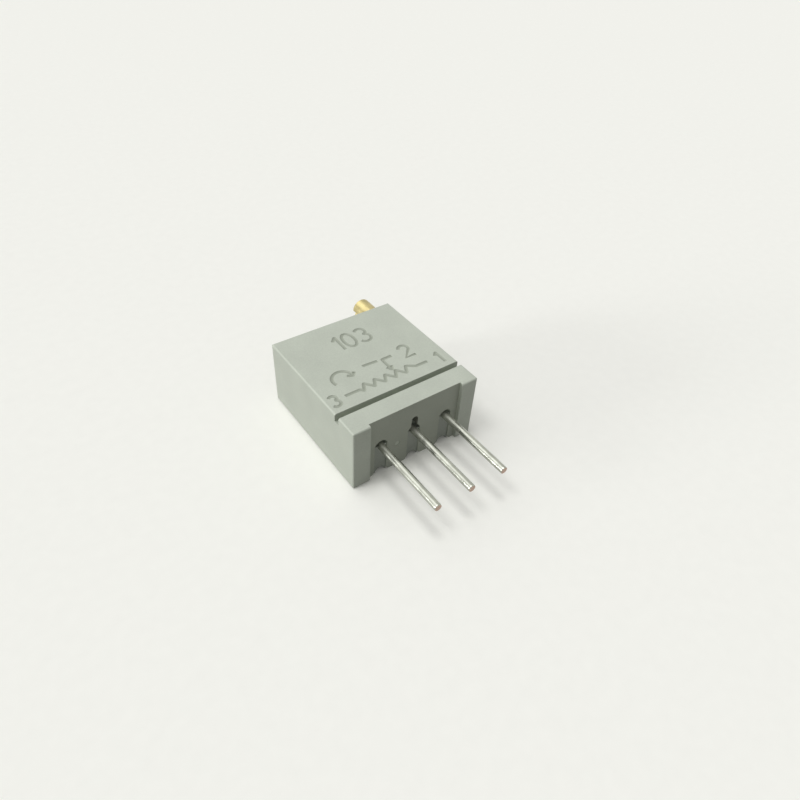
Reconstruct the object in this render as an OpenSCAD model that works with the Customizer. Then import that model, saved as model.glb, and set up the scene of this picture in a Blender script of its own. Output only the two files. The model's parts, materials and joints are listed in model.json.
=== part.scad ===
// Multiturn trimmer potentiometer, lying on its back.
// X runs along the row of pins, Y from the pins to the adjusting screw, Z out of the marked face.
// The origin is the centre of the back face. All sizes are in millimetres.

/* [Case] */
// Width of the case along the row of pins
case_w = 9.53; // [9.3:0.01:11]
// Height of the case from its feet to the screw face
case_h = 10.16; // [9.9:0.01:12]
// Thickness of the case from its back to the marked face
case_t = 4.83; // [4.75:0.01:6]
// Radius of the outer edges
edge_r = 0.13; // [0.05:0.01:0.25]
// Width of each foot on the pin side
foot_w = 1.25; // [0.9:0.01:1.6]
// How far the feet stand proud of the pin face
foot_h = 0.28; // [0.15:0.01:0.5]
// Distance from the feet to the groove across the marked face
groove_y = 1.64; // [1.2:0.01:1.8]
// Width of the groove
groove_w = 0.42; // [0.2:0.01:0.5]
// Depth of the groove
groove_depth = 0.55; // [0.2:0.01:0.9]

/* [Case inside] */
// Thickness of the side walls
side_wall = 0.5; // [0.4:0.01:0.8]
// Thickness of the wall behind the screw face
far_wall = 0.6; // [0.4:0.01:1]
// Thickness of the wall that the pins pass through
pin_wall = 0.9; // [0.7:0.01:1.1]
// Thickness of the roof over the rotor
roof = 0.6; // [0.4:0.01:0.6]
// Radius of the corners of the rear cavity
cavity_r = 0.3; // [0.1:0.01:0.6]
// Distance from the screw face to the rotor's pivot
rotor_down = 4.53; // [4.2:0.01:4.7]
// Radius of the pivot post
post_r = 0.5; // [0.35:0.01:0.6]

/* [Pins] */
// Distance between neighbouring pins
pin_pitch = 2.54; // [2.3:0.01:2.7]
// Diameter of the pin wire
pin_d = 0.51; // [0.4:0.01:0.6]
// Length of the pins below the feet
pin_len = 5.46; // [2.5:0.01:13]
// Thickness of the tin dipped onto the wire
tin_t = 0.01; // [0.005:0.005:0.03]
// Distance from the feet to where the tin starts to thin out
tin_short = 0.12; // [0.08:0.01:0.4]
// Length over which the tin thins out to the bare wire
tin_fade = 0.53; // [0.52:0.01:0.7]
// Radius of the hollow in the resin under each pin
hollow_r = 0.38; // [0.2:0.01:0.4]
// Distance from the marked face to the middle of the pins
pin_depth = 2.415; // [2.35:0.001:2.6]
// Width of the flattened tail of a pin
tail_w = 0.66; // [0.5:0.01:0.8]
// Thickness of the flattened tail of a pin
tail_t = 0.3; // [0.2:0.01:0.4]
// Length of the flattened tail inside the case
tail_len = 1.1; // [0.8:0.01:1.4]
// Width of the slot in the case for each pin
slot_w = 0.95; // [0.8:0.01:1.1]
// Radius of the rounded mouth of each slot
slot_mouth_r = 0.28; // [0.1:0.01:0.4]
// Width of the tall hole over the middle pin
window_w = 0.5; // [0.3:0.01:0.7]
// How far the tall hole reaches above the middle pin
window_h = 1.2; // [0.8:0.01:1.4]
// Depth of the tall hole
window_depth = 0.6; // [0.3:0.01:0.65]
// Radius of the shallow dimple between the middle pin and pin 3
dimple_r = 0.2; // [0.1:0.01:0.3]
// Depth of the dimple
dimple_depth = 0.05; // [0.02:0.01:0.1]

/* [Resistance element] */
// Thickness of the ceramic plate
plate_t = 0.64; // [0.5:0.01:0.8]
// Thickness of the printed layers on the plate
print_t = 0.02; // [0.01:0.005:0.03]
// Radius of the middle of the resistance track
track_r = 2.1; // [2:0.01:2.2]
// Width of the resistance track
track_w = 0.7; // [0.6:0.01:0.8]
// Inner radius of the collector ring
collector_r = 0.92; // [0.85:0.01:0.98]
// Width of the collector ring
collector_w = 0.56; // [0.5:0.01:0.62]
// Width of the printed leads and pads
lead_w = 0.9; // [0.7:0.01:1]
// How far the seal at the back stays below the rim
back_recess = 0.05; // [0.02:0.01:0.2]
// How far the seal round the pins stays behind the pin face
seal_recess = 0.08; // [0.03:0.01:0.2]

/* [Rotor] */
// Radius at which the rotor's teeth mesh with the worm
mesh_r = 3.105; // [3.07:0.005:3.14]
// Number of teeth on the rotor
teeth = 34; // [30:1:38]
// Turns of the screw from one end of the track to the other
turns = 25; // [20:1:25]
// Thickness of the toothed rim
rim_t = 1; // [0.8:0.01:1]
// Radius of the rotor's hub
hub_r = 0.85; // [0.75:0.01:0.88]
// How far the hub reaches below the rim
hub_drop = 0.35; // [0.2:0.01:0.45]
// Thickness of the wiper spring
spring_t = 0.08; // [0.05:0.01:0.12]
// Width of a spring finger
finger_w = 0.11; // [0.08:0.01:0.12]
// Distance between neighbouring fingers
finger_pitch = 0.16; // [0.14:0.01:0.18]
// Length of the fingers that run on the track
finger_len = 0.95; // [0.8:0.01:1]

/* [Screw] */
// Distance from the side of the case to the screw's axis
screw_side = 1.13; // [1.1:0.01:1.3]
// Distance from the marked face to the screw's axis
screw_depth = 1.13; // [1.13:0.01:1.3]
// Diameter of the screw's head
head_d = 1.42; // [1.41:0.01:1.7]
// Height of the head over the screw face
head_h = 1.94; // [1:0.01:2.5]
// Chamfer at the head's outer edge
head_chamfer = 0.08; // [0.04:0.01:0.15]
// Width of the driver slot
driver_w = 0.45; // [0.3:0.01:0.6]
// Depth of the driver slot
driver_depth = 0.76; // [0.4:0.01:0.9]
// Turn of the driver slot away from the back, in degrees
driver_turn = 20; // [0:1:180]
// Radius of the screw's shank
shank_r = 0.67; // [0.67:0.005:0.69]
// Radius of the worm where it meshes with the rotor
worm_r = 0.53; // [0.5:0.005:0.535]
// Length of the worm
worm_len = 3.3; // [2.8:0.01:3.6]
// Radius of the journal at the screw's inner end
journal_r = 0.33; // [0.25:0.01:0.35]
// Length of the journal at the screw's inner end
journal_len = 0.9; // [0.5:0.01:1.1]
// Diameter of the rubber ring's section
ring_d = 0.26; // [0.2:0.01:0.28]
// Distance from the screw face to the rubber ring
ring_down = 0.95; // [0.7:0.01:1.1]
// Distance from the screw face to the clip that holds the screw
clip_down = 2.0; // [1.8:0.01:2.05]
// Thickness of the clip
clip_t = 0.2; // [0.15:0.01:0.25]
// Depth of the clip's groove in the shank
clip_bite = 0.22; // [0.15:0.01:0.26]

/* [Clearances] */
// Radial gap of everything that turns
run_gap = 0.03; // [0.02:0.005:0.04]
// Gap round pieces that are dropped into the case
fit_gap = 0.05; // [0.03:0.005:0.08]
// Gap between the rotor's teeth and its pocket
pocket_gap = 0.13; // [0.08:0.01:0.2]
// Gap between a spring finger and what it runs on
touch_gap = 0.01; // [0.01:0.005:0.02]

/* [Hidden] */
$fn = 64;
// A little extra for cuts that run past a face
over = 1;

// Pin 3 is on the left, where the row is read with the marked face up and the pins below
pin_1_x = pin_pitch;
pin_2_x = 0;
pin_3_x = -pin_pitch;
PIN_X = [pin_1_x, pin_2_x, pin_3_x];

// Places along Y
feet_y = -case_h / 2;
screw_face_y = case_h / 2;
pin_face_y = feet_y + foot_h;
cavity_y0 = pin_face_y + pin_wall;
cavity_y1 = screw_face_y - far_wall;
rotor_y = screw_face_y - rotor_down;
cavity_x = case_w / 2 - side_wall;

// Heights of the element: the pins lie on pads printed on the ceramic plate
pin_z = case_t - pin_depth;
bare_r = pin_d / 2 - tin_t;
pad_top = pin_z - bare_r;
plate_top = pad_top - print_t;
plate_back = plate_top - plate_t;

// Screw and rotor mesh: the screw's place sets the rotor's
screw_x = case_w / 2 - screw_side;
screw_z = case_t - screw_depth;
rotor_x = screw_x - worm_r - mesh_r;
tooth_module = 2 * mesh_r / teeth;
lead = 2 * PI * mesh_r / teeth;
addendum = 0.75 * tooth_module;
dedendum = addendum + run_gap;
tip_r = mesh_r + addendum;
root_r = mesh_r - dedendum;
lead_angle = atan(lead / (2 * PI * worm_r));
flank = 20;
// Slices of the worm in one turn
WORM_STEPS = 15;
// The thread is thinner than its space by this share of the lead, so the mesh runs free
thread_share = 0.37;
space_share = 0.6;
sweep = 360 * turns / teeth;

// Rotor heights
ceiling = case_t - roof;
rim_bottom = screw_z - rim_t / 2;
rim_top = screw_z + rim_t / 2;
hub_bottom = rim_bottom - hub_drop;
pocket_r = tip_r + pocket_gap;

// Bores for the screw
bore_r = shank_r + run_gap;
worm_y0 = rotor_y - worm_len / 2;
worm_y1 = rotor_y + worm_len / 2;
bore_end_y = worm_y0 - 4 * run_gap;
journal_end_y = worm_y0 - journal_len;
clip_y = screw_face_y - clip_down;
ring_y = screw_face_y - ring_down;
// How far the clip reaches past the screw's axis
clip_reach = 0.75;
clip_half_w = screw_side - side_wall - fit_gap;

// Outline of a rectangle with round corners, about its centre
module round_rect(w, h, r) {
    square([w - 2 * r, h], center = true);
    square([w, h - 2 * r], center = true);
    for (x = [-1, 1], y = [-1, 1])
        translate([x * (w / 2 - r), y * (h / 2 - r)]) circle(r);
}

// A flat strip along a line from p to q, seen from the side
module strip(p, q, t) {
    d = q - p;
    n = [-d[1], d[0]] / norm(d) * t / 2;
    polygon([p + n, p - n, q - n, q + n]);
}

// Lays a drawing made in X and Z flat against a plane that faces the pins
module facing_pins(y0, y1) {
    translate([0, y1, 0]) rotate([90, 0, 0]) linear_extrude(y1 - y0) children();
}

// A cylinder along Y
module rod(r, y0, y1) {
    translate([0, y0, 0]) rotate([-90, 0, 0]) cylinder(r = r, h = y1 - y0);
}

// Outline of the case from above, with the feet at the pin side
module case_outline() {
    difference() {
        round_rect(case_w, case_h, edge_r);
        translate([-case_w / 2 + foot_w, feet_y - over]) square([case_w - 2 * foot_w, foot_h + over]);
    }
}

// The block with all its outer edges rounded
module case_block() {
    intersection() {
        linear_extrude(case_t) case_outline();
        translate([0, 0, case_t / 2]) rotate([90, 0, 0])
            linear_extrude(case_h + over, center = true) round_rect(case_w, case_t, edge_r);
        translate([0, 0, case_t / 2]) rotate([90, 0, 90])
            linear_extrude(case_w + over, center = true) round_rect(case_h, case_t, edge_r);
    }
}

// Slot for one pin, open at the back, round over the pin
module pin_slot_outline() {
    translate([-slot_w / 2, -over]) square([slot_w, pin_z + over]);
    translate([0, pin_z]) circle(slot_w / 2);
}

// The slot's mouth at the back, where the wall beside it ends in a round corner
module slot_mouth() {
    difference() {
        translate([-slot_w / 2 - slot_mouth_r, -over]) square([slot_w + 2 * slot_mouth_r, slot_mouth_r + over]);
        for (side = [-1, 1])
            translate([side * (slot_w / 2 + slot_mouth_r), slot_mouth_r]) circle(slot_mouth_r);
    }
}

// Tall hole over the middle pin
module window_outline() {
    translate([-window_w / 2, pin_z]) square([window_w, window_h - window_w / 2]);
    translate([0, pin_z + window_h - window_w / 2]) circle(window_w / 2);
}

// Outline of the rear cavity and of what fills it
module cavity_outline(gap) {
    translate([0, (cavity_y0 + cavity_y1) / 2])
        round_rect(2 * (cavity_x - gap), cavity_y1 - cavity_y0 - 2 * gap, cavity_r);
}

module case() {
    channel_top = pin_z + slot_w / 2;
    color("#b5bcaf") difference() {
        case_block();
        translate([-case_w, feet_y + groove_y, case_t - groove_depth]) cube([2 * case_w, groove_w, groove_depth + over]);
        translate([0, 0, -over]) linear_extrude(pad_top + over) cavity_outline(0);
        difference() {
            translate([rotor_x, rotor_y, plate_top - over]) cylinder(r = pocket_r, h = ceiling - plate_top + over);
            translate([rotor_x, rotor_y, pad_top + fit_gap]) cylinder(r = post_r, h = case_t);
        }
        for (x = PIN_X) translate([x, 0, 0]) {
            facing_pins(feet_y - over, cavity_y0 + over) pin_slot_outline();
            facing_pins(feet_y - over, cavity_y0 + over) slot_mouth();
            translate([-slot_w / 2, cavity_y0, plate_top - over])
                cube([slot_w, tail_len + fit_gap * 4, channel_top - plate_top + over]);
        }
        facing_pins(pin_face_y - over, pin_face_y + window_depth) window_outline();
        facing_pins(pin_face_y - over, pin_face_y + dimple_depth)
            translate([(pin_2_x + pin_3_x) / 2, pin_z - slot_w / 2]) circle(dimple_r);
        translate([screw_x, 0, screw_z]) {
            rod(bore_r, bore_end_y, screw_face_y + over);
            rod(journal_r + run_gap, journal_end_y - 2 * run_gap, bore_end_y + over);
        }
        translate([screw_x - clip_half_w - fit_gap, clip_y - clip_t / 2 - run_gap, plate_top - over])
            cube([2 * (clip_half_w + fit_gap), clip_t + 2 * run_gap, screw_z + clip_reach + fit_gap - plate_top + over]);
    }
}

// Hard resin that closes the back and the slots round the pins
module back_seal() {
    seal_y = pin_face_y + seal_recess;
    collar_y = pin_face_y + pin_wall / 2;
    color("#8d9389") difference() {
        union() {
            translate([0, 0, back_recess]) linear_extrude(plate_back - back_recess) cavity_outline(0);
            for (x = PIN_X) translate([x, 0, 0]) facing_pins(seal_y, cavity_y0) intersection() {
                pin_slot_outline();
                translate([-slot_w, back_recess]) square([2 * slot_w, case_t]);
            }
        }
        for (x = PIN_X) translate([x, 0, 0]) {
            translate([0, 0, pin_z]) wire(cavity_y0 + over);
            translate([-slot_w, seal_y - over, pin_z]) cube([2 * slot_w, collar_y - seal_y + over, case_t]);
            rod(hollow_r, seal_y - over, collar_y);
        }
    }
}

module ceramic_plate() {
    color("white") translate([0, 0, plate_back]) linear_extrude(plate_t) cavity_outline(fit_gap);
}

// A sector of a ring about the rotor's axis, its middle towards the screw face
module ring_sector(r_in, r_out, half_angle) {
    far = 4 * r_out;
    difference() {
        circle(r_out);
        circle(r_in);
        if (half_angle < 180)
            polygon([
                [0, 0],
                far * [sin(half_angle), cos(half_angle)],
                far * [sin(half_angle), -2],
                far * [-sin(half_angle), -2],
                far * [-sin(half_angle), cos(half_angle)]
            ]);
    }
}

track_half = sweep / 2 + 3;

module resistance_track() {
    color("#2f2d2a") translate([rotor_x, rotor_y, plate_top]) linear_extrude(print_t)
        ring_sector(track_r - track_w / 2, track_r + track_w / 2, track_half);
}

// Printed conductor from one end of the track to its pin
module end_pad(x) {
    side = sign(x);
    end_x = rotor_x + side * track_r * sin(track_half);
    end_y = rotor_y + track_r * cos(track_half);
    color("#c9c6bd") translate([0, 0, plate_top]) linear_extrude(print_t) difference() {
        union() {
            translate([x - lead_w / 2, cavity_y0 + fit_gap]) square([lead_w, tail_len + fit_gap]);
            strip([x, cavity_y0 + tail_len], [end_x, end_y], track_w);
            translate([end_x, end_y]) circle(track_w / 2);
            translate([x, cavity_y0 + tail_len]) circle(track_w / 2);
        }
        translate([rotor_x, rotor_y]) ring_sector(track_r - track_w, track_r + track_w, track_half);
    }
}

// Printed ring under the rotor, with its lead to the middle pin
module collector() {
    color("#c9c6bd") translate([0, 0, plate_top]) linear_extrude(print_t) difference() {
        union() {
            translate([rotor_x, rotor_y]) circle(collector_r + collector_w);
            translate([-lead_w / 2, cavity_y0 + fit_gap]) square([lead_w, rotor_y - cavity_y0 - fit_gap]);
        }
        translate([rotor_x, rotor_y]) circle(collector_r);
    }
}

// Round wire up to a place inside the case: the tin on it thins out as it enters the case
module wire(end_y) {
    tip_y = feet_y - pin_len;
    tin_y = feet_y - tin_short;
    rotate([-90, 0, 0]) rotate_extrude() polygon([
        [0, tip_y],
        [pin_d / 2, tip_y],
        [pin_d / 2, tin_y],
        [bare_r, tin_y + tin_fade],
        [bare_r, end_y],
        [0, end_y]
    ]);
}

// The wire, flattened where it lies on its pad
module pin(x) {
    color("#d8d8d4") translate([x, 0, 0]) {
        translate([0, 0, pin_z]) wire(cavity_y0);
        translate([-tail_w / 2, cavity_y0, pad_top]) cube([tail_w, tail_len, tail_t]);
    }
}

// Solder that wets the pad and both sides of the tail
module solder(x) {
    foot_r = lead_w / 2;
    crown_r = (foot_r + tail_w / 2) / 2;
    solder_h = tail_t + 2 * fit_gap;
    color("#b9bcbd") difference() {
        translate([x, cavity_y0 + fit_gap + foot_r, pad_top]) cylinder(r1 = foot_r, r2 = crown_r, h = solder_h);
        translate([x - tail_w / 2, cavity_y0 - over, pad_top - over]) cube([tail_w, tail_len + over, tail_t + over]);
    }
}

// One tooth space, cut along the slant of the worm's thread
module tooth_space() {
    half = space_share * lead / 2;
    widen = tan(flank + 90 / teeth);
    rotate([-lead_angle, 0, 0]) linear_extrude(2 * rim_t, center = true) polygon([
        [root_r, -half + dedendum * widen],
        [root_r, half - dedendum * widen],
        [tip_r + addendum, half + 2 * addendum * widen],
        [tip_r + addendum, -half - 2 * addendum * widen]
    ]);
}

// Pegs that hold the spring on the rotor: their radius, their distance from the axis and their places
peg_r = 0.14;
peg_at = 1.2;
PEG_ANGLES = [90, 190, 350];
// Width of the rim left round the shallow dish on the rotor's top
dish_rim = 0.35;

module rotor() {
    dish_depth = rim_t / 4;
    dish_r = root_r - dish_rim;
    boss_top = ceiling - run_gap;
    color("#e9e6da") translate([rotor_x, rotor_y, 0]) difference() {
        union() {
            difference() {
                translate([0, 0, rim_bottom]) cylinder(r = tip_r, h = rim_t);
                for (i = [0 : teeth - 1])
                    translate([0, 0, screw_z]) rotate([0, 0, i * 360 / teeth]) tooth_space();
                translate([0, 0, rim_top - dish_depth]) cylinder(r = dish_r, h = rim_t);
            }
            translate([0, 0, hub_bottom]) cylinder(r = hub_r, h = boss_top - hub_bottom);
            for (a = PEG_ANGLES) rotate([0, 0, a]) translate([peg_at, 0, 0]) {
                translate([0, 0, rim_bottom - spring_t]) cylinder(r = peg_r, h = spring_t * 2);
                translate([0, 0, rim_bottom - 2 * spring_t]) cylinder(r = peg_r * 1.5, h = spring_t);
            }
        }
        translate([0, 0, hub_bottom - over]) cylinder(r = post_r + run_gap, h = case_t);
    }
}

// A bent finger seen from the side: its root is at the left, its knuckle runs on the print below
module finger_outline(len, drop) {
    knuckle_r = 0.1;
    bend = [0.12, -spring_t / 2];
    low = [len, -drop + knuckle_r];
    tip = low + [0.2, 0.12];
    strip([-spring_t / 2, -spring_t / 2], bend, spring_t);
    translate(bend) circle(spring_t / 2);
    strip(bend, low + [0, spring_t / 2 - knuckle_r], spring_t);
    translate(low) circle(knuckle_r);
    strip(low + [0, spring_t / 2 - knuckle_r], tip, spring_t);
}

// A row of fingers that run on the print at the given radius
module fingers(count, at_r, len) {
    drop = rim_bottom - pad_top - touch_gap;
    for (i = [0 : count - 1])
        translate([-len, at_r + (i - (count - 1) / 2) * finger_pitch + finger_w / 2, rim_bottom])
            rotate([90, 0, 0]) linear_extrude(finger_w) finger_outline(len, drop);
}

// How far the spring's flat ring reaches past the collector ring
ring_margin = 0.15;
// Width of the bar that carries the fingers for the track
bar_w = 0.36;
// The fingers for the collector ring are shorter by this much
short_by = 0.25;

// Sheet metal contact: it joins the track to the collector ring at the rotor's angle
module wiper_spring() {
    ring_in = hub_r + fit_gap;
    ring_out = collector_r + collector_w + ring_margin;
    track_arm_w = 3 * finger_pitch + finger_w;
    collector_mid = collector_r + collector_w / 2;
    short_len = finger_len - short_by;
    color("#c8a24c") translate([rotor_x, rotor_y, 0]) {
        translate([0, 0, rim_bottom - spring_t]) linear_extrude(spring_t) difference() {
            union() {
                circle(ring_out);
                intersection() {
                    translate([-finger_len - bar_w, 0]) square([bar_w, track_r + track_arm_w / 2]);
                    circle(root_r);
                }
            }
            circle(ring_in);
            translate([-finger_pitch, -ring_out - 1]) square([short_len + finger_pitch, ring_out + 1 - hub_r / 2]);
            for (a = PEG_ANGLES) rotate([0, 0, a]) translate([peg_at, 0]) circle(peg_r);
        }
        fingers(4, track_r, finger_len);
        rotate([0, 0, 180]) fingers(3, collector_mid, short_len);
    }
}

// Half the width of the thread along the screw, at a distance from the screw's axis
function thread_half(r) = thread_share * lead / 2 + (worm_r - r) * tan(flank);

// Section across the worm: turning it along the axis sweeps out the thread.
// The flank is a spiral, so it has points between the crest and the root.
FLANK_STEPS = 4;
ROOT_STEPS = 4;
function worm_section() =
    let (
        crest_r = worm_r + addendum,
        floor_r = worm_r - dedendum,
        crest_a = 360 * thread_half(crest_r) / lead,
        floor_a = 360 * thread_half(floor_r) / lead,
        falling = [for (i = [0 : FLANK_STEPS])
            let (k = i / FLANK_STEPS, r = crest_r + k * (floor_r - crest_r), a = crest_a + k * (floor_a - crest_a))
            [r, a]],
        root = [for (i = [1 : ROOT_STEPS - 1]) [floor_r, floor_a + i / ROOT_STEPS * (360 - 2 * floor_a)]],
        rising = [for (i = [FLANK_STEPS : -1 : 0]) [falling[i][0], 360 - falling[i][1]]]
    ) [for (p = concat(falling, root, rising, [[crest_r, 360]])) p[0] * [cos(p[1]), sin(p[1])]];

// The thread is right-handed, and its crest faces a tooth space on the line between the two axes
module worm() {
    bite = 2 * run_gap;
    length = worm_len + bite;
    start = 180 - 180 * worm_len / lead;
    translate([0, worm_y0, 0]) rotate([-90, 0, 0])
        linear_extrude(length, twist = -360 * length / lead, slices = ceil(WORM_STEPS * length / lead), $fn = 14)
            rotate(start) polygon(worm_section());
}

module adjusting_screw() {
    head_r = head_d / 2;
    head_y = screw_face_y + run_gap;
    top_y = screw_face_y + head_h;
    ring_groove_r = bore_r - ring_d - run_gap / 2;
    ring_half = ring_d / 2 + run_gap;
    clip_half = clip_t / 2 + run_gap;
    color("#c9b172") translate([screw_x, 0, screw_z]) difference() {
        union() {
            rod(journal_r, journal_end_y, worm_y0 + 2 * run_gap);
            worm();
            rod(shank_r, worm_y1, head_y);
            rotate([-90, 0, 0]) rotate_extrude() polygon([
                [0, head_y],
                [head_r, head_y],
                [head_r, top_y - head_chamfer],
                [head_r - head_chamfer, top_y],
                [0, top_y]
            ]);
        }
        difference() {
            rod(head_r, ring_y - ring_half, ring_y + ring_half);
            rod(ring_groove_r, ring_y - over, ring_y + over);
        }
        difference() {
            rod(head_r, clip_y - clip_half, clip_y + clip_half);
            rod(shank_r - clip_bite, clip_y - over, clip_y + over);
        }
        translate([0, top_y, 0]) rotate([0, -driver_turn, 0])
            cube([3 * head_r, 2 * driver_depth, driver_w], center = true);
    }
}

module seal_ring() {
    ring_r = bore_r - ring_d / 2 - run_gap / 2;
    color("#3b3b3b") translate([screw_x, ring_y, screw_z]) rotate([-90, 0, 0])
        rotate_extrude() translate([ring_r, 0]) circle(ring_d / 2, $fn = 32);
}

// Forked plate pushed in from the back, astride the groove in the shank
module screw_clip() {
    fork_half = shank_r - clip_bite + run_gap;
    bottom = plate_top + run_gap;
    color("#9a9c9c") translate([screw_x, 0, 0]) facing_pins(clip_y - clip_t / 2, clip_y + clip_t / 2) difference() {
        translate([-clip_half_w, bottom]) square([2 * clip_half_w, screw_z + clip_reach - bottom]);
        translate([-fork_half, screw_z]) square([2 * fork_half, clip_reach + over]);
        translate([0, screw_z]) circle(fork_half);
    }
}

case();
back_seal();
ceramic_plate();
resistance_track();
end_pad(pin_1_x);  // end_pad_1
end_pad(pin_3_x);  // end_pad_3
collector();
pin(pin_1_x);  // pin_1
pin(pin_2_x);  // pin_2
pin(pin_3_x);  // pin_3
solder(pin_1_x);  // solder_1
solder(pin_2_x);  // solder_2
solder(pin_3_x);  // solder_3
rotor();
wiper_spring();
adjusting_screw();
seal_ring();
screw_clip();
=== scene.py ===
"""Looks of a multiturn trimmer potentiometer, built round its packed CAD model.

Sizes in the settings are lengths of the real part. Everything is made in metres in the frame of the model:
X along the row of pins, Y from the pins to the adjusting screw, Z out of the marked face.
"""

import json
import math

import bmesh
import bpy
from bpy.props import FloatProperty, FloatVectorProperty, IntProperty, PointerProperty
from mathutils import Matrix, Vector


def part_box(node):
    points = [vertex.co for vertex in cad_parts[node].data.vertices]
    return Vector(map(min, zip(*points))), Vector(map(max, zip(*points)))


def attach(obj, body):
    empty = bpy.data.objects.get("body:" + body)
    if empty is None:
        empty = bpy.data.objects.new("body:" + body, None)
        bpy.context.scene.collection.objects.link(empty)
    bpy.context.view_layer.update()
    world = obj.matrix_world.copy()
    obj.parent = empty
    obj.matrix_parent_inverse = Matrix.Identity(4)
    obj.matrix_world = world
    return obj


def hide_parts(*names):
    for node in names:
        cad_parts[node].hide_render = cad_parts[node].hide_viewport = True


bl_info = {
    "name": "Trimmer potentiometer looks",
    "version": (1, 0, 0),
    "blender": (4, 5, 0),
    "location": "3D View > Sidebar > Trimmer",
    "description": "Dresses the packed trimmer: moulded case, tinned wires, brass screw and a pale stage",
    "category": "Object",
}

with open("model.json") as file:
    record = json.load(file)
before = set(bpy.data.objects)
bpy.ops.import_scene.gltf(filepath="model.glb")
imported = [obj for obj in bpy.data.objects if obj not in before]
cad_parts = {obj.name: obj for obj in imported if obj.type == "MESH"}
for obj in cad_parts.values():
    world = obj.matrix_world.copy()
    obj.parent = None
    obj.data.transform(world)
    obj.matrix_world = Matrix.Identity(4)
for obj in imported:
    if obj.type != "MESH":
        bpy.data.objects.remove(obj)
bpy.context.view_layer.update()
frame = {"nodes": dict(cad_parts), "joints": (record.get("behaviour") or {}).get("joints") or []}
MM = 0.001
CASE_LOW, CASE_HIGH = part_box("case")
JOINTS = {joint["name"]: joint for joint in frame["joints"]}
SCREW_AXIS = Vector(JOINTS["screw_turn"]["pos_m"])
WIRES = ("pin_1", "pin_2", "pin_3")
# Diameter of the tinned wire, in millimetres
WIRE_DIAMETER = 0.51
# The feet stand this far proud of the face that the pins leave, and each pin lies in a slot of this width
FOOT_HEIGHT = 0.28 * MM
SLOT_WIDTH = 0.95 * MM
# A window this deep opens above the slot of the middle pin
WINDOW_DEPTH = 0.60 * MM
# The groove across the marked face: its middle from the ends of the feet, its width and its depth
GROOVE_PLACE, GROOVE_WIDTH, GROOVE_DEPTH = 1.85 * MM, 0.42 * MM, 0.55 * MM
# Two faces that meet at more than this show a sharp line, on the case and on a wire
SHARP_CASE, SHARP_WIRE = math.radians(32), math.radians(40)
# Each lamp: the setting with its strength, its width in degrees and where it stands, seen from the object
LAMPS = (
    ("key", 18, Vector((-0.03, 0.13, 1.0))),
    ("fill", 18, Vector((-0.42, 0.12, 0.91))),
    ("back", 50, Vector((-0.25, 0.58, 0.77))),
    ("side", 16, Vector((-0.95, 0.26, 0.14))),
)


def linear(colour):
    """An sRGB hex colour as linear red, green, blue and alpha."""
    parts = [int(colour[i : i + 2], 16) / 255 for i in (1, 3, 5)]
    return (*[c / 12.92 if c <= 0.04045 else ((c + 0.055) / 1.055) ** 2.4 for c in parts], 1.0)


def colour_setting(name, description, colour):
    return FloatVectorProperty(
        name=name, description=description, subtype="COLOR", size=4, min=0, max=1, default=linear(colour)
    )


def length_setting(name, description, millimetres):
    return FloatProperty(
        name=name, description=description, default=millimetres * MM, min=0, precision=6, unit="LENGTH"
    )


def angle_setting(name, description, degrees):
    return FloatProperty(name=name, description=description, default=math.radians(degrees), subtype="ANGLE")


def strength_setting(name, description, strength):
    return FloatProperty(name=name, description=description, default=strength, min=0)


class CaseSettings(bpy.types.PropertyGroup):
    """The moulded case and the marks recessed in it"""

    plastic: colour_setting("Plastic", "Colour of the moulded case", "#b9bfb2")
    # The marks' colour is darker than the plastic: painted shade in the recessed strokes
    marks: colour_setting("Marks", "Colour at the bottom of the recessed marks", "#9ba193")
    pin_face: colour_setting("Pin face", "Colour of the rougher face that the pins leave", "#a3a89b")
    # The groove's colour is a little darker than the plastic: painted shade in the channel
    groove: colour_setting("Groove", "Colour of the groove's walls, rougher than the outside", "#b0b6a9")
    # The window's walls are painted dark: painted shade inside the opening
    window: colour_setting("Window", "Colour of the walls of the window over the middle pin", "#7c8074")
    resin: colour_setting("Resin", "Colour of the resin that seals the back", "#8d9389")
    mark_width: length_setting("Mark width", "Width of a mark's line at the surface", 0.24)
    mark_depth: length_setting("Mark depth", "Depth of the marks", 0.05)
    mark_sides: IntProperty(
        name="Mark sides", description="Sides of the tool that cuts a mark", default=16, min=6
    )


class WireSettings(bpy.types.PropertyGroup):
    """The three tinned wires"""

    tin: colour_setting("Tin", "Colour of the tinned surface", "#b9bbb2")
    copper: colour_setting("Copper", "Colour of the sheared end, with tin smeared over it", "#bfa595")
    diameter: length_setting("Diameter", "Diameter of the tinned wire", WIRE_DIAMETER)
    tin_thickness: length_setting("Tin thickness", "Thickness of the tin on the copper", 0.01)
    tin_short: length_setting("Tin short", "Distance from the feet to where the tin starts to thin out", 0.12)
    tin_fade: length_setting("Tin fade", "Length over which the tin thins out", 0.53)
    tail_length: length_setting("Tail length", "Length of the flattened tail", 1.1)
    tail_thickness: length_setting("Tail thickness", "Thickness of the flattened tail", 0.3)
    ripple: FloatProperty(
        name="Ripple", description="Share of the radius by which the tin varies", default=0.02, min=0, max=0.1
    )
    sides: IntProperty(name="Sides", description="Sides of the wire's section", default=40, min=8)


class ScrewSettings(bpy.types.PropertyGroup):
    """The adjusting screw and the pieces on it"""

    brass: colour_setting("Brass", "Colour of the turned brass", "#cdbf8c")
    rubber: colour_setting("Rubber", "Colour of the seal ring", "#33322f")
    steel: colour_setting("Steel", "Colour of the clip", "#a3a5a5")
    lathe_pitch: length_setting("Lathe pitch", "Distance between the marks of the lathe tool", 0.03)


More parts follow.
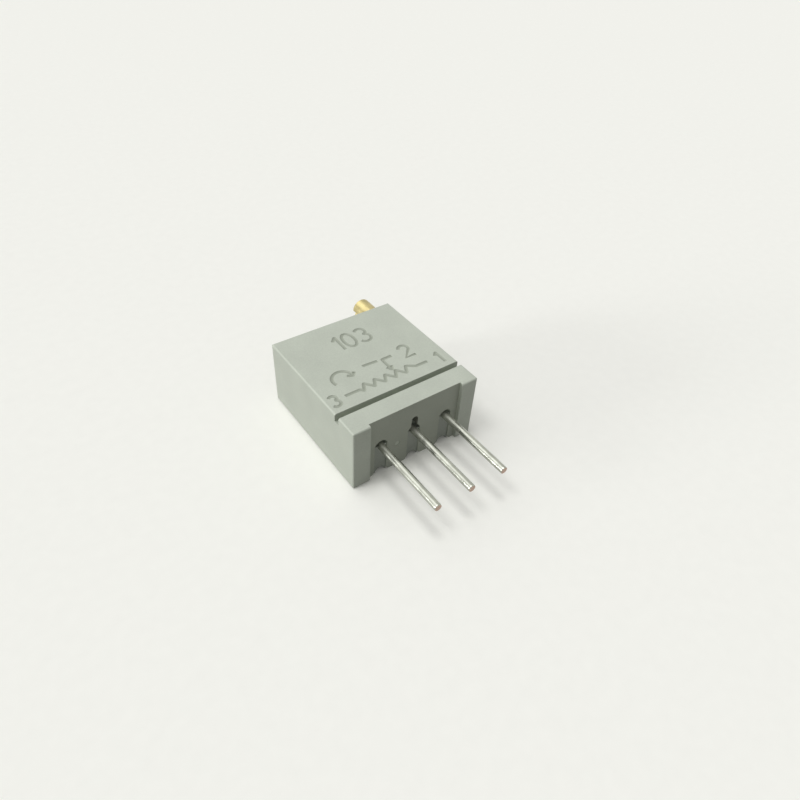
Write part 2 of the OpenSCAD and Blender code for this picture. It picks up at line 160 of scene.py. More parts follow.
class StageSettings(bpy.types.PropertyGroup):
    """Camera, floor and light"""

    paper: colour_setting("Paper", "Colour of the floor and of the background", "#f5f5ef")
    azimuth: angle_setting("Azimuth", "Camera's turn about Z", -38.378)
    elevation: angle_setting("Elevation", "Camera's height over the horizon", 42.423)
    roll: angle_setting("Roll", "Camera's roll", 3.884)
    place: FloatVectorProperty(
        name="Place", description="Camera's place", size=3, unit="LENGTH", subtype="XYZ", precision=6,
        default=(-18.268 * MM, -26.230 * MM, 30.660 * MM),
    )
    lens: FloatProperty(name="Lens", description="Focal length on a 36 mm sensor", default=28.05, min=10)
    key: strength_setting("Key light", "Strength of the lamp overhead", 0.73)
    fill: strength_setting("Fill light", "Strength of the high lamp on the left", 0.58)
    back: strength_setting("Back light", "Strength of the wide lamp behind", 0.50)
    side: strength_setting("Side light", "Strength of the low lamp on the left", 1.45)
    sky: strength_setting("Sky", "Strength of the even light all round", 0.38)


def add(tree, kind, settings=None, links=None):
    """Adds a node. A setting names an input or an attribute, and a link gives an input its source socket."""
    node = tree.nodes.new(kind)
    for name, value in (settings or {}).items():
        if isinstance(name, int) or name in node.inputs:
            node.inputs[name].default_value = value
        else:
            setattr(node, name, value)
    for name, source in (links or {}).items():
        tree.links.new(source, node.inputs[name])
    return node


def new_material(name, colour, **constants):
    """A material, its tree, its shader and its Object coordinates. Constants go on the shader's sockets."""
    material = bpy.data.materials.new(name)
    material.use_nodes = True
    material.diffuse_color = colour
    tree = material.node_tree
    shader = tree.nodes["Principled BSDF"]
    shader.inputs["Base Color"].default_value = colour
    for socket, value in constants.items():
        shader.inputs[socket.replace("_", " ")].default_value = value
    return material, tree, shader, add(tree, "ShaderNodeTexCoord").outputs["Object"]


def shade(colour, factor):
    """The colour made darker or lighter by a factor."""
    return (*[min(1.0, c * factor) for c in colour[:3]], 1.0)


def moulded_plastic(name, colour, grain_mm=0.09, grain_um=3.0, gloss=0.5):
    """Glass-filled thermoplastic, injection moulded in a spark-eroded tool.

    The eye sees a matt grey-green with a fine grain, faint cloudy flow marks and a few pale ends of fibre.
    """
    material, tree, shader, place = new_material(name, colour, Roughness=gloss, IOR=1.5)
    flow = add(tree, "ShaderNodeTexNoise", {"Scale": 1 / (2.2 * MM), "Detail": 3.0}, {"Vector": place})
    grain = add(tree, "ShaderNodeTexNoise", {"Scale": 1 / (grain_mm * MM), "Detail": 4.0}, {"Vector": place})
    # Fibres are 0.01 mm across in the real plastic and are drawn about three times as coarse
    fibre = add(tree, "ShaderNodeTexVoronoi", {"Scale": 1 / (0.16 * MM)}, {"Vector": place})
    speck = add(
        tree, "ShaderNodeMapRange", {"From Min": 0.06, "From Max": 0.16, "To Min": 0.35, "To Max": 0.0},
        {"Value": fibre.outputs["Distance"]},
    )
    cloud = add(
        tree, "ShaderNodeMapRange", {"From Min": 0.3, "From Max": 0.7}, {"Value": flow.outputs["Fac"]}
    )
    base = add(
        tree, "ShaderNodeMix", {"data_type": "RGBA", 6: shade(colour, 0.955), 7: shade(colour, 1.03)},
        {0: cloud.outputs["Result"]},
    )
    tone = add(
        tree, "ShaderNodeMapRange", {"From Min": 0.25, "From Max": 0.75, "To Min": 0.93, "To Max": 1.06},
        {"Value": grain.outputs["Fac"]},
    )
    grained = add(
        tree, "ShaderNodeVectorMath", {"operation": "SCALE"}, {0: base.outputs[2], 3: tone.outputs["Result"]}
    )
    flecked = add(
        tree, "ShaderNodeMix", {"data_type": "RGBA", 7: shade(colour, 1.2)},
        {0: speck.outputs["Result"], 6: grained.outputs["Vector"]},
    )
    rough = add(
        tree, "ShaderNodeMapRange",
        {"From Min": 0.3, "From Max": 0.7, "To Min": gloss - 0.07, "To Max": gloss + 0.08},
        {"Value": grain.outputs["Fac"]},
    )
    bump = add(
        tree, "ShaderNodeBump", {"Strength": 1.0, "Distance": grain_um * MM / 1000},
        {"Height": grain.outputs["Fac"]},
    )
    tree.links.new(flecked.outputs[2], shader.inputs["Base Color"])
    tree.links.new(rough.outputs["Result"], shader.inputs["Roughness"])
    tree.links.new(bump.outputs["Normal"], shader.inputs["Normal"])
    return material


def tinned_copper(name, colour, dull_from, dull_to):
    """Drawn copper wire dipped in tin: bright, with faint lines along the draw and a slow ripple of the tin.

    The tin is duller towards the case, between two places along Y, because the dip ends there.
    """
    material, tree, shader, place = new_material(name, colour, Metallic=1.0, Roughness=0.22)
    # The draw lines run along Y, so the pattern is stretched forty times that way
    along = add(tree, "ShaderNodeMapping", {"Scale": (1.0, 0.025, 1.0)}, {"Vector": place})
    lines = add(
        tree, "ShaderNodeTexNoise", {"Scale": 1 / (0.05 * MM), "Detail": 3.0},
        {"Vector": along.outputs["Vector"]},
    )
    dip = add(tree, "ShaderNodeTexNoise", {"Scale": 1 / (0.5 * MM), "Detail": 5.0}, {"Vector": place})
    dull = add(
        tree, "ShaderNodeMapRange", {"From Min": 0.35, "From Max": 0.65}, {"Value": dip.outputs["Fac"]}
    )
    base = add(
        tree, "ShaderNodeMix", {"data_type": "RGBA", 6: shade(colour, 0.84), 7: colour},
        {0: dull.outputs["Result"]},
    )
    rough = add(
        tree, "ShaderNodeMapRange", {"From Min": 0.3, "From Max": 0.7, "To Min": 0.17, "To Max": 0.27},
        {"Value": dip.outputs["Fac"]},
    )
    split = add(tree, "ShaderNodeSeparateXYZ", None, {0: place})
    edge = add(
        tree, "ShaderNodeMapRange", {"From Min": dull_from, "From Max": dull_to, "To Max": 0.26},
        {"Value": split.outputs["Y"]},
    )
    duller = add(
        tree, "ShaderNodeMath", {"operation": "ADD"}, {0: rough.outputs["Result"], 1: edge.outputs["Result"]}
    )
    height = add(
        tree, "ShaderNodeMath", {"operation": "MULTIPLY_ADD", 1: 0.5},
        {0: lines.outputs["Fac"], 2: dip.outputs["Fac"]},
    )
    bump = add(
        tree, "ShaderNodeBump", {"Strength": 0.6, "Distance": 0.0014 * MM},
        {"Height": height.outputs["Value"]},
    )
    tree.links.new(base.outputs[2], shader.inputs["Base Color"])
    tree.links.new(duller.outputs["Value"], shader.inputs["Roughness"])
    tree.links.new(bump.outputs["Normal"], shader.inputs["Normal"])
    return material


def turned_brass(name, colour, axis, pitch):
    """Brass turned on a lathe and left bare: satin, with fine rings round the axis and a faint tarnish."""
    material, tree, shader, place = new_material(name, colour, Metallic=1.0, Roughness=0.34)
    centred = add(tree, "ShaderNodeMapping", {"Location": (-axis.x, 0, -axis.z)}, {"Vector": place})
    split = add(tree, "ShaderNodeSeparateXYZ", None, {0: centred.outputs["Vector"]})
    flat = add(tree, "ShaderNodeCombineXYZ", None, {"X": split.outputs["X"], "Z": split.outputs["Z"]})
    radius = add(tree, "ShaderNodeVectorMath", {"operation": "LENGTH"}, {0: flat.outputs["Vector"]})
    ring = add(
        tree, "ShaderNodeMath", {"operation": "ADD"}, {0: radius.outputs["Value"], 1: split.outputs["Y"]}
    )
    lathe = add(
        tree, "ShaderNodeTexNoise", {"noise_dimensions": "1D", "Scale": 1 / pitch, "Detail": 2.0},
        {"W": ring.outputs["Value"]},
    )
    stain = add(tree, "ShaderNodeTexNoise", {"Scale": 1 / (0.6 * MM), "Detail": 5.0}, {"Vector": place})
    patch = add(
        tree, "ShaderNodeMapRange", {"From Min": 0.38, "From Max": 0.68}, {"Value": stain.outputs["Fac"]}
    )
    base = add(
        tree, "ShaderNodeMix", {"data_type": "RGBA", 6: colour, 7: shade(colour, 0.74)},
        {0: patch.outputs["Result"]},
    )
    rough = add(
        tree, "ShaderNodeMapRange", {"From Min": 0.3, "From Max": 0.7, "To Min": 0.26, "To Max": 0.42},
        {"Value": lathe.outputs["Fac"]},
    )
    bump = add(
        tree, "ShaderNodeBump", {"Strength": 0.7, "Distance": 0.004 * MM}, {"Height": lathe.outputs["Fac"]}
    )
    tree.links.new(base.outputs[2], shader.inputs["Base Color"])
    tree.links.new(rough.outputs["Result"], shader.inputs["Roughness"])
    tree.links.new(bump.outputs["Normal"], shader.inputs["Normal"])
    return material


def poured_resin(name, colour):
    """Filled epoxy, poured and cured: a slightly glossy skin with slow waves and a few pinholes, whose
    darkness is painted shade in the pits.
    """
    material, tree, shader, place = new_material(name, colour, Roughness=0.3, IOR=1.55)
    wave = add(tree, "ShaderNodeTexNoise", {"Scale": 1 / (1.6 * MM), "Detail": 2.0}, {"Vector": place})
    holes = add(tree, "ShaderNodeTexVoronoi", {"Scale": 1 / (0.8 * MM)}, {"Vector": place})
    pinhole_and_shade = add(
        tree, "ShaderNodeMapRange", {"From Min": 0.05, "From Max": 0.11, "To Min": 1.0, "To Max": 0.0},
        {"Value": holes.outputs["Distance"]},
    )
    filler = add(tree, "ShaderNodeTexNoise", {"Scale": 1 / (0.05 * MM), "Detail": 3.0}, {"Vector": place})
    speckle = add(
        tree, "ShaderNodeMapRange", {"From Min": 0.3, "From Max": 0.7}, {"Value": filler.outputs["Fac"]}
    )
    base = add(
        tree, "ShaderNodeMix", {"data_type": "RGBA", 6: shade(colour, 0.9), 7: shade(colour, 1.08)},
        {0: speckle.outputs["Result"]},
    )
    # The pinholes are painted darker: painted shade in the pits, beside the bump that sinks them
    pitted_shade = add(
        tree, "ShaderNodeMix", {"data_type": "RGBA", 7: shade(colour, 0.45)},
        {0: pinhole_and_shade.outputs["Result"], 6: base.outputs[2]},
    )
    height = add(
        tree, "ShaderNodeMath", {"operation": "SUBTRACT"},
        {0: wave.outputs["Fac"], 1: pinhole_and_shade.outputs["Result"]},
    )
    bump = add(
        tree, "ShaderNodeBump", {"Strength": 0.8, "Distance": 0.02 * MM}, {"Height": height.outputs["Value"]}
    )
    tree.links.new(pitted_shade.outputs[2], shader.inputs["Base Color"])
    tree.links.new(bump.outputs["Normal"], shader.inputs["Normal"])
    return material


def grained(name, colour, grain_mm, depth_um, contrast, **constants):
    """A surface whose look is its grain, such as a fired print, ceramic, solder, rubber or rolled sheet."""
    material, tree, shader, place = new_material(name, colour, **constants)
    grain = add(tree, "ShaderNodeTexNoise", {"Scale": 1 / (grain_mm * MM), "Detail": 5.0}, {"Vector": place})
    spread = add(
        tree, "ShaderNodeMapRange", {"From Min": 0.3, "From Max": 0.7}, {"Value": grain.outputs["Fac"]}
    )
    base = add(
        tree, "ShaderNodeMix",
        {"data_type": "RGBA", 6: shade(colour, 1 - contrast), 7: shade(colour, 1 + contrast / 2)},
        {0: spread.outputs["Result"]},
    )
    bump = add(
        tree, "ShaderNodeBump", {"Strength": 0.8, "Distance": depth_um * MM / 1000},
        {"Height": grain.outputs["Fac"]},
    )
    tree.links.new(base.outputs[2], shader.inputs["Base Color"])
    tree.links.new(bump.outputs["Normal"], shader.inputs["Normal"])
    return material


def swept_path_tree():
    """Geometry nodes that sweep a round section along every path, scaled by the radius at each point."""
    tree = bpy.data.node_groups.new("Swept path", "GeometryNodeTree")
    for name, kind in (
        ("Geometry", "NodeSocketGeometry"),
        ("Radius", "NodeSocketFloat"),
        ("Sides", "NodeSocketInt"),
        ("Finish", "NodeSocketMaterial"),
    ):
        tree.interface.new_socket(name, in_out="INPUT", socket_type=kind)
    tree.interface.new_socket("Geometry", in_out="OUTPUT", socket_type="NodeSocketGeometry")
    given = add(tree, "NodeGroupInput").outputs
    section = add(
        tree, "GeometryNodeCurvePrimitiveCircle", {"mode": "RADIUS"},
        {"Resolution": given["Sides"], "Radius": given["Radius"]},
    )
    scale = add(tree, "GeometryNodeInputRadius")
    swept = add(
        tree, "GeometryNodeCurveToMesh", {"Fill Caps": True},
        {
            "Curve": given["Geometry"],
            "Profile Curve": section.outputs["Curve"],
            "Scale": scale.outputs["Radius"],
        },
    )
    real = add(tree, "GeometryNodeRealizeInstances", None, {"Geometry": swept.outputs["Mesh"]})
    finished = add(
        tree, "GeometryNodeSetMaterial", None,
        {"Geometry": real.outputs["Geometry"], "Material": given["Finish"]},
    )
    add(tree, "NodeGroupOutput", None, {"Geometry": finished.outputs["Geometry"]})
    return tree


def linked(name, data):
    """A new object in the scene."""
    made = bpy.data.objects.new(name, data)
    bpy.context.scene.collection.objects.link(made)
    return made


def plain_mesh(source):
    """The evaluated object as a plain mesh. The object that it came from goes."""
    graph = bpy.context.evaluated_depsgraph_get()
    mesh = bpy.data.meshes.new_from_object(source.evaluated_get(graph), depsgraph=graph)
    bpy.data.objects.remove(source)
    return mesh


def swept(name, paths, radius, sides, finish):
    """Mesh of round sections along paths. A path is a list of points, each with a scale for the section."""
    curve = bpy.data.curves.new(name, "CURVE")
    curve.dimensions = "3D"
    for path in paths:
        spline = curve.splines.new("POLY")
        spline.points.add(len(path) - 1)
        for point, (place, scale) in zip(spline.points, path):
            point.co = (*place, 1.0)
            point.radius = scale
    source = linked(name, curve)
    modifier = source.modifiers.new("Swept path", "NODES")
    modifier.node_group = bpy.data.node_groups.get("Swept path") or swept_path_tree()
    values = {"Radius": radius, "Sides": sides, "Finish": finish}
    for item in modifier.node_group.interface.items_tree:
        if item.in_out == "INPUT" and item.name in values:
            modifier[item.identifier] = values[item.name]
    mesh = plain_mesh(source)
    bpy.data.curves.remove(curve)
    return mesh


def merged(mesh):
    """Joins the doubles of a mesh and turns its faces outwards. Raises an error if the shell isn't closed."""
    shell = bmesh.new()
    shell.from_mesh(mesh)
    bmesh.ops.remove_doubles(shell, verts=shell.verts, dist=0.00005 * MM)
    bmesh.ops.recalc_face_normals(shell, faces=shell.faces)
    open_edges = [edge for edge in shell.edges if len(edge.link_faces) != 2]
    shell.to_mesh(mesh)
    shell.free()
    if open_edges:
        raise RuntimeError(f"{mesh.name} has {len(open_edges)} open edges")
    return mesh


def softened(mesh, angle):
    """Smooth shading, with a sharp line wherever two faces meet at more than the angle."""
    shell = bmesh.new()
    shell.from_mesh(mesh)
    for face in shell.faces:
        face.smooth = True
    for edge in shell.edges:
        edge.smooth = len(edge.link_faces) == 2 and edge.calc_face_angle() < angle
    shell.to_mesh(mesh)
    shell.free()
    return mesh


def rounded(points, radius, steps=4):
    """A path through the points with an arc of about the radius in place of each corner."""
    path = [points[0]]
    for before, corner, after in zip(points, points[1:], points[2:]):
        arm_in, arm_out = before - corner, after - corner
        reach = min(radius, arm_in.length / 2, arm_out.length / 2)
        start, end = corner + arm_in.normalized() * reach, corner + arm_out.normalized() * reach
        for i in range(steps + 1):
            k = i / steps
            path.append(start * (1 - k) ** 2 + corner * 2 * k * (1 - k) + end * k * k)
    return path + [points[-1]]


def arc(centre, radius, start, end, steps=14):
    """Points of an arc in the marked face, its angles in degrees from X."""
    angles = [math.radians(start + (end - start) * i / steps) for i in range(steps + 1)]
    return [centre + radius * Vector((math.cos(a), math.sin(a))) for a in angles]


def numeral(digit, x, y, size):
    """Paths of a plain numeral in the marked face. Its left foot is at x, y, and size is its height."""
    def at(px, py):
        return Vector((x + px * size, y + py * size))

    if digit == "0":
        turns = [math.radians(90 + 360 * i / 24) for i in range(25)]
        return [[at(0.29 + 0.27 * math.cos(a), 0.5 + 0.5 * math.sin(a)) for a in turns]]
    if digit == "1":
        return [rounded([at(0.04, 0.74), at(0.28, 1.0), at(0.28, 0.0)], 0.06)]
    if digit == "2":
        return [arc(at(0.31, 0.72), 0.29 * size, 165, -25, 10) + [at(0.0, 0.0), at(0.64, 0.0)]]
    top = arc(at(0.30, 0.745), 0.255 * size, 150, -80, 9)
    low = arc(at(0.30, 0.285), 0.285 * size, 85, -155, 9)
    return [top, low]


def mark_paths():
    """Lines of the marks, in millimetres from the corner of the marked face by the left foot.

    They show the usual diagram: the track between ends 3 and 1, the wiper that comes from 2, and an arrow for
    the screw's turn. Above it stands a plain number.
    """
    low, high, middle = 2.90, 3.50, 3.12
    # The first foot of the zigzag, the pitch of its teeth, and how far a peak and the next foot lie on
    first, pitch, teeth = 2.70, 0.82, 5
    to_peak, to_foot = 0.30, pitch - 0.02
    zigzag = [Vector((1.40, middle)), Vector((2.50, middle)), Vector((first, low))]
    for i in range(teeth):
        tooth = first + i * pitch
        zigzag += [Vector((tooth + to_peak, high)), Vector((tooth + to_foot, low))]
    # The last tooth ends on the lead
    zigzag[-1] = Vector((6.86, middle))
    zigzag.append(Vector((7.78, middle)))
    wiper = [Vector((6.10, 4.86)), Vector((5.34, 4.86)), Vector((5.34, 3.66))]
    wiper_head = [Vector((5.16, 4.02)), Vector((5.34, 3.66)), Vector((5.52, 4.02))]
    link = [Vector((3.87, 4.96)), Vector((4.99, 4.90))]
    turn = arc(Vector((2.16, 4.58)), 0.72, 205, -8)
    turn_head = [turn[-1] + Vector((-0.36, 0.20)), turn[-1], turn[-1] + Vector((0.24, 0.32))]
    paths = [rounded(path, 0.07) for path in (zigzag, wiper, wiper_head, link, turn_head)] + [turn]
    for digit, x, y, size in (("3", 0.32, 2.55, 1.0), ("2", 6.84, 4.17, 1.22), ("1", 8.52, 2.48, 1.1)):
        paths += numeral(digit, x, y, size)
    for digit, x in (("1", 3.50), ("0", 4.22), ("3", 5.30)):
        paths += numeral(digit, x, 7.05, 1.5)
    return paths


def mark_cutter(settings):
    """The tool that presses the marks: a round section swept along each line, sunk a little into the face."""
    half, depth = settings.mark_width / 2, settings.mark_depth
    radius = (half * half + depth * depth) / (2 * depth)
    height = CASE_HIGH.z + radius - depth
    paths = []
    for path in mark_paths():
        places = [Vector((CASE_LOW.x + p.x * MM, CASE_LOW.y + p.y * MM, height)) for p in path]
        paths.append([(place, 1.0) for place in places])
    # The strokes have a round bottom, painted a little darker than the face: painted shade in the recessed
    # strokes
    finish = moulded_plastic("plastic_marks", tuple(settings.marks), 0.06)
    return swept("marks", paths, radius, settings.mark_sides, finish)


def wire_middle(name, diameter):
    """X and Z of the middle of a wire's section."""
    low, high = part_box(name)
    return (low.x + high.x) / 2, low.z + diameter / 2


class TRIMMER_OT_dress_case(bpy.types.Operator):
    """Make the moulded case, with the marks recessed in its face"""

    bl_idname = "trimmer.dress_case"
    bl_label = "Dress the case"

    def finish_recesses(self, mesh, settings):
        """The face that the pins leave and the groove keep the rougher finish of the tool's inserts. The
        groove's walls are also painted a little darker: painted shade in the channel.

        The dimple is the mark of a polished ejector pin, so it stays as pale as the outside. The walls of the
        window and the top of the slot below it are painted dark grey: painted shade in the deep opening.
        """
        # The faces are told apart by where their middles are, to within this much
        slack = 0.02 * MM
        wire_x, wire_z = wire_middle("pin_2", WIRE_DIAMETER * MM)
        rough, window_shade, groove_shade = (len(mesh.materials) + i for i in range(3))
        mesh.materials.append(moulded_plastic("plastic_pin_face", tuple(settings.pin_face), 0.12, 6.0, 0.62))
        mesh.materials.append(moulded_plastic("plastic_flux_stained", tuple(settings.window), 0.12, 6.0, 0.7))
        mesh.materials.append(moulded_plastic("plastic_groove", tuple(settings.groove), 0.12, 6.0, 0.62))
        for face in mesh.polygons:
            behind = face.center.y - CASE_LOW.y - FOOT_HEIGHT
            off_slot = abs(face.center.x - wire_x) - SLOT_WIDTH / 2
            below = CASE_HIGH.z - face.center.z
            off_groove = abs(face.center.y - CASE_LOW.y - GROOVE_PLACE) - GROOVE_WIDTH / 2
            if abs(behind) < slack and face.normal.y < -0.9:
                face.material_index = rough
            # The groove's walls take the darker colour: painted shade in the channel
            elif slack < below < GROOVE_DEPTH + slack and off_groove < slack:
                face.material_index = groove_shade
            # The window's walls take the dark colour: painted shade in the opening
            elif 0 < behind < WINDOW_DEPTH + slack and off_slot < slack and face.center.z > wire_z:
                face.material_index = window_shade

    def execute(self, context):
        settings = context.scene.trimmer_case
        plastic = moulded_plastic("plastic_glass_filled", tuple(settings.plastic))
        mesh = merged(frame["nodes"]["case"].data.copy())
        mesh.name = "case_moulded"
        mesh.materials.clear()
        mesh.materials.append(plastic)
        case = linked("case_moulded", mesh)
        tool = linked("marks_tool", mark_cutter(settings))
        press = case.modifiers.new("Marks", "BOOLEAN")
        press.operation = "DIFFERENCE"
        press.solver = "EXACT"
        press.use_self = True
        press.material_mode = "TRANSFER"
        press.object = tool
        pressed = plain_mesh(case)
        bpy.data.objects.remove(tool)
        case = linked("case_moulded", softened(pressed, SHARP_CASE))
        even = case.modifiers.new("Even normals", "WEIGHTED_NORMAL")
        even.keep_sharp = True
        case = linked("case_moulded", plain_mesh(case))
        self.finish_recesses(case.data, settings)
        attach(case, "case")
        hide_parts("case")
        return {"FINISHED"}


class TRIMMER_OT_dress_wires(bpy.types.Operator):
    """Make the three tinned wires with their sheared ends"""

    bl_idname = "trimmer.dress_wires"
    bl_label = "Dress the wires"

    def execute(self, context):
        settings = context.scene.trimmer_wires
        dull_length = 1.8 * MM
        tin = tinned_copper("tinned_copper_wire", tuple(settings.tin), CASE_LOW.y - dull_length, CASE_LOW.y)
        sheared = grained(
            "copper_sheared_end", tuple(settings.copper), 0.05, 8.0, 0.3, Metallic=0.8, Roughness=0.4
        )
        radius = settings.diameter / 2
        pad_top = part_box("collector")[1].z
        fade_y = CASE_LOW.y - settings.tin_short
        steps = 90
        # The shears leave a slightly drawn-in edge: shares of the radius at the end and just behind it
        end_share, behind_share, edge_length = 0.90, 0.96, 0.02 * MM
        # Two waves run along the tin, in radians over its length, and each wire starts them at another place
        short_wave, long_wave, short_start, long_start = 31, 13, 2.1, 1
        for number, name in enumerate(WIRES):
            low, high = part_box(name)
            x, z = wire_middle(name, settings.diameter)
            tail_y = high.y - settings.tail_length
            path = [(Vector((x, low.y, z)), end_share), (Vector((x, low.y + edge_length, z)), behind_share)]
            for i in range(1, steps + 1):
                k = i / steps
                y = low.y + (tail_y - low.y) * k
                short = math.sin(k * short_wave + number * short_start)
                wave = 0.5 + 0.5 * short * math.sin(k * long_wave + number * long_start)
                faded = min(max((y - fade_y) / settings.tin_fade, 0), 1)
                size = 1 - settings.ripple * wave * (1 - faded) - settings.tin_thickness / radius * faded
                path.append((Vector((x, y, z)), size))
            mesh = swept(name + "_wire", [path], radius, settings.sides, tin)
            # Inside, the end of the wire is flattened and lies on the print
            shell = bmesh.new()
            shell.from_mesh(mesh)
            tail_top = pad_top + settings.tail_thickness
            tail = (Vector((low.x, tail_y, pad_top)), Vector((high.x, high.y, tail_top)))
            for vertex in bmesh.ops.create_cube(shell, size=1)["verts"]:
                vertex.co = Vector((tail[vertex.co[axis] > 0][axis] for axis in range(3)))
            shell.to_mesh(mesh)
            shell.free()
            mesh = softened(merged(mesh), SHARP_WIRE)
            mesh.materials.append(sheared)
            for face in mesh.polygons:
                if face.normal.y < -0.7 and face.center.y < low.y + edge_length / 2:
                    face.material_index = len(mesh.materials) - 1
            wire = linked(name + "_wire", mesh)
            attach(wire, "case")
            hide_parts(name)
        return {"FINISHED"}


def finish_node(name, material):
    """Gives a CAD node its material."""
    node = frame["nodes"][name]
    for slot in node.material_slots:
        slot.material = material


class TRIMMER_OT_finish_screw(bpy.types.Operator):
    """Finish the brass screw, its rubber ring and its clip"""

    bl_idname = "trimmer.finish_screw"
    bl_label = "Finish the screw"

    def execute(self, context):
        settings = context.scene.trimmer_screw
        brass = turned_brass("brass_turned", tuple(settings.brass), SCREW_AXIS, settings.lathe_pitch)
        finish_node("adjusting_screw", brass)
        # Nitrile rubber, moulded: black and dull
        rubber = grained("nitrile_rubber", tuple(settings.rubber), 0.04, 3.0, 0.25, Roughness=0.6)
        finish_node("seal_ring", rubber)
        # Spring steel, rolled and stamped: grey metal with a fine grain
        steel = grained(
            "spring_steel_stamped", tuple(settings.steel), 0.03, 2.0, 0.2, Metallic=1.0, Roughness=0.35
        )
        finish_node("screw_clip", steel)
        return {"FINISHED"}


class TRIMMER_OT_finish_inside(bpy.types.Operator):
    """Finish the resin, the resistance element, the rotor and its spring"""

    bl_idname = "trimmer.finish_inside"
    bl_label = "Finish the inside"

    def execute(self, context):
        settings = context.scene.trimmer_case
        finish_node("back_seal", poured_resin("epoxy_poured", tuple(settings.resin)))
        # Alumina, pressed and fired: chalky white with a fine even grain
        alumina = grained("alumina_fired", linear("#f0eee6"), 0.04, 1.5, 0.05, Roughness=0.55)
        finish_node("ceramic_plate", alumina)
        # Cermet paste, screen printed and fired: nearly black and slightly glassy
        cermet = grained("cermet_print", linear("#2f2d2a"), 0.05, 2.0, 0.3, Roughness=0.38)
        finish_node("resistance_track", cermet)
        # Silver and palladium paste, screen printed and fired: pale dull metal
        print_metal = grained(
            "silver_print", linear("#c9c6bd"), 0.04, 2.0, 0.2, Metallic=0.85, Roughness=0.45
        )
        # Tin solder, flowed: bright and softly uneven
        solder = grained(
            "tin_solder_flowed", linear("#b9bcbd"), 0.12, 6.0, 0.18, Metallic=1.0, Roughness=0.28
        )
        for name in ("end_pad_1", "end_pad_3", "collector"):
            finish_node(name, print_metal)
        for name in ("solder_1", "solder_2", "solder_3"):
            finish_node(name, solder)
        # Acetal, moulded: milky white and waxy
        acetal = grained(
            "acetal_moulded", linear("#e9e6da"), 0.08, 2.0, 0.04,
            Roughness=0.42, Subsurface_Weight=0.15, Subsurface_Scale=0.3 * MM,
        )
        finish_node("rotor", acetal)
        # Palladium alloy strip, rolled and stamped: pale warm metal
        strip = grained(
            "alloy_strip_rolled", linear("#cdb079"), 0.03, 1.5, 0.15, Metallic=1.0, Roughness=0.3
        )
        finish_node("wiper_spring", strip)
        return {"FINISHED"}


def background_mask(tree):
    """Light Path, 1 where the camera, a reflection or a view through glass meets the surface."""
    path = add(tree, "ShaderNodeLightPath").outputs
    direct = add(
        tree, "ShaderNodeMath", {"operation": "MAXIMUM"},
        {0: path["Is Camera Ray"], 1: path["Is Glossy Ray"]},
    )
    seen = add(
        tree, "ShaderNodeMath", {"operation": "MAXIMUM"},
        {0: direct.outputs["Value"], 1: path["Is Transmission Ray"]},
    )
    return seen.outputs["Value"]


def soft_lamp(name, strength, degrees, towards):
    """A far lamp in the direction given. It is as wide as the angle, so its shadows are soft."""
    lamp = bpy.data.lights.new(name, "SUN")
    lamp.energy = strength
    lamp.angle = math.radians(degrees)
    placed = linked(name, lamp)
    placed.rotation_mode = "QUATERNION"
    placed.rotation_quaternion = towards.to_track_quat("Z", "Y")


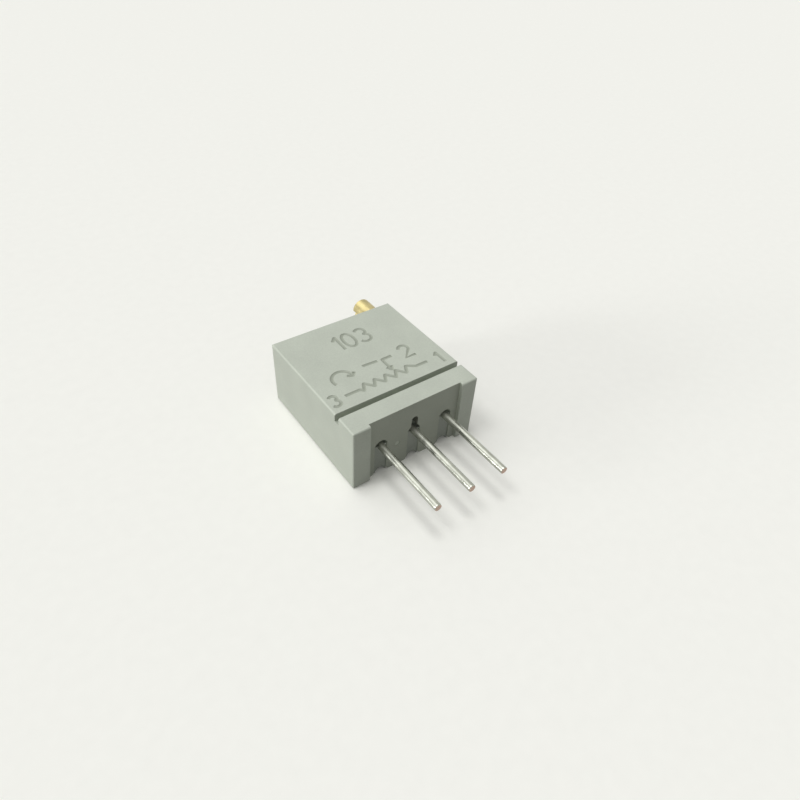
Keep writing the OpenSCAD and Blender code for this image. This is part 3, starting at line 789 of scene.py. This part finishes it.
class TRIMMER_OT_set_stage(bpy.types.Operator):
    """Set the camera, the floor and the light"""

    bl_idname = "trimmer.set_stage"
    bl_label = "Set the stage"

    def execute(self, context):
        settings = context.scene.trimmer_stage
        scene = context.scene
        scene.view_settings.view_transform = "Standard"
        paper = tuple(settings.paper)

        # White card under soft light. The camera sees its pale colour with the shadow on it. The object sees
        # a greyer card, so little light comes back up. A small glow keeps the shadow from going too deep.
        mottle, glow_share, hidden_tone = 0.02, 0.04, 0.32
        card = bpy.data.materials.new("card_matt")
        card.use_nodes = True
        tree = card.node_tree
        tree.nodes.clear()
        seen = background_mask(tree)
        place = add(tree, "ShaderNodeTexCoord").outputs["Object"]
        fibre = add(tree, "ShaderNodeTexNoise", {"Scale": 1 / (0.8 * MM), "Detail": 4.0}, {"Vector": place})
        tone = add(
            tree, "ShaderNodeMix",
            {"data_type": "RGBA", 6: shade(paper, 1 - mottle), 7: shade(paper, 1 + mottle)},
            {0: fibre.outputs["Fac"]},
        )
        shown = add(tree, "ShaderNodeBsdfDiffuse", {"Roughness": 0.0}, {"Color": tone.outputs[2]})
        glow = add(tree, "ShaderNodeEmission", {"Strength": 1.0}, {"Color": tone.outputs[2]})
        soft = add(tree, "ShaderNodeMixShader", {0: glow_share}, {1: shown.outputs[0], 2: glow.outputs[0]})
        hidden = add(tree, "ShaderNodeBsdfDiffuse", {"Color": shade(paper, hidden_tone)})
        both = add(tree, "ShaderNodeMixShader", None, {0: seen, 1: hidden.outputs[0], 2: soft.outputs[0]})
        add(tree, "ShaderNodeOutputMaterial", None, {"Surface": both.outputs[0]})

        # Half the floor's side, in metres
        reach = 1.5
        sheet = bpy.data.meshes.new("floor")
        corners = [(-reach, -reach, 0), (reach, -reach, 0), (reach, reach, 0), (-reach, reach, 0)]
        sheet.from_pydata(corners, [], [(0, 1, 2, 3)])
        sheet.materials.append(card)
        linked("floor", sheet)

        world = bpy.data.worlds.new("even_light")
        scene.world = world
        world.use_nodes = True
        tree = world.node_tree
        tree.nodes.clear()
        seen = background_mask(tree)
        even = add(tree, "ShaderNodeBackground", {"Color": (1.0, 1.0, 1.0, 1.0), "Strength": settings.sky})
        # The backdrop is as pale as the lit floor, so no horizon shows from low down
        floor_tone = 0.963
        back = add(tree, "ShaderNodeBackground", {"Color": shade(paper, floor_tone), "Strength": 1.0})
        both = add(tree, "ShaderNodeMixShader", None, {0: seen, 1: even.outputs[0], 2: back.outputs[0]})
        add(tree, "ShaderNodeOutputWorld", None, {"Surface": both.outputs[0]})

        for name, degrees, towards in LAMPS:
            soft_lamp(name, getattr(settings, name), degrees, towards)

        view = bpy.data.cameras.new("camera")
        view.lens = settings.lens
        view.sensor_width = 36
        view.clip_start, view.clip_end = 1 * MM, 10
        camera = linked("camera", view)
        a, e, r = settings.azimuth, settings.elevation, settings.roll
        back = Vector((math.sin(a) * math.cos(e), -math.cos(a) * math.cos(e), math.sin(e)))
        level = Vector((math.cos(a), math.sin(a), 0))
        upright = back.cross(level)
        right = level * math.cos(r) + upright * math.sin(r)
        up = upright * math.cos(r) - level * math.sin(r)
        camera.matrix_world = Matrix((right, up, back)).transposed().to_4x4()
        camera.location = settings.place
        scene.camera = camera
        return {"FINISHED"}


OPERATORS = (
    TRIMMER_OT_dress_case,
    TRIMMER_OT_dress_wires,
    TRIMMER_OT_finish_screw,
    TRIMMER_OT_finish_inside,
    TRIMMER_OT_set_stage,
)
SETTINGS = {
    "trimmer_case": CaseSettings,
    "trimmer_wires": WireSettings,
    "trimmer_screw": ScrewSettings,
    "trimmer_stage": StageSettings,
}


class TRIMMER_PT_looks(bpy.types.Panel):
    """Settings and steps of the trimmer's looks"""

    bl_idname = "TRIMMER_PT_looks"
    bl_label = "Trimmer"
    bl_space_type = "VIEW_3D"
    bl_region_type = "UI"
    bl_category = "Trimmer"

    def draw(self, context):
        for name, group in SETTINGS.items():
            box = self.layout.box()
            box.label(text=group.__doc__)
            for setting in group.__annotations__:
                box.prop(getattr(context.scene, name), setting)
        for operator in OPERATORS:
            self.layout.operator(operator.bl_idname)


def register():
    for kind in (*SETTINGS.values(), *OPERATORS, TRIMMER_PT_looks):
        bpy.utils.register_class(kind)
    for name, group in SETTINGS.items():
        setattr(bpy.types.Scene, name, PointerProperty(type=group))


def unregister():
    for name in SETTINGS:
        delattr(bpy.types.Scene, name)
    for kind in (TRIMMER_PT_looks, *reversed(OPERATORS), *reversed(SETTINGS.values())):
        bpy.utils.unregister_class(kind)


def main():
    register()
    bpy.ops.trimmer.dress_case()
    bpy.ops.trimmer.dress_wires()
    bpy.ops.trimmer.finish_screw()
    bpy.ops.trimmer.finish_inside()
    bpy.ops.trimmer.set_stage()


if __name__ == "__main__":
    main()
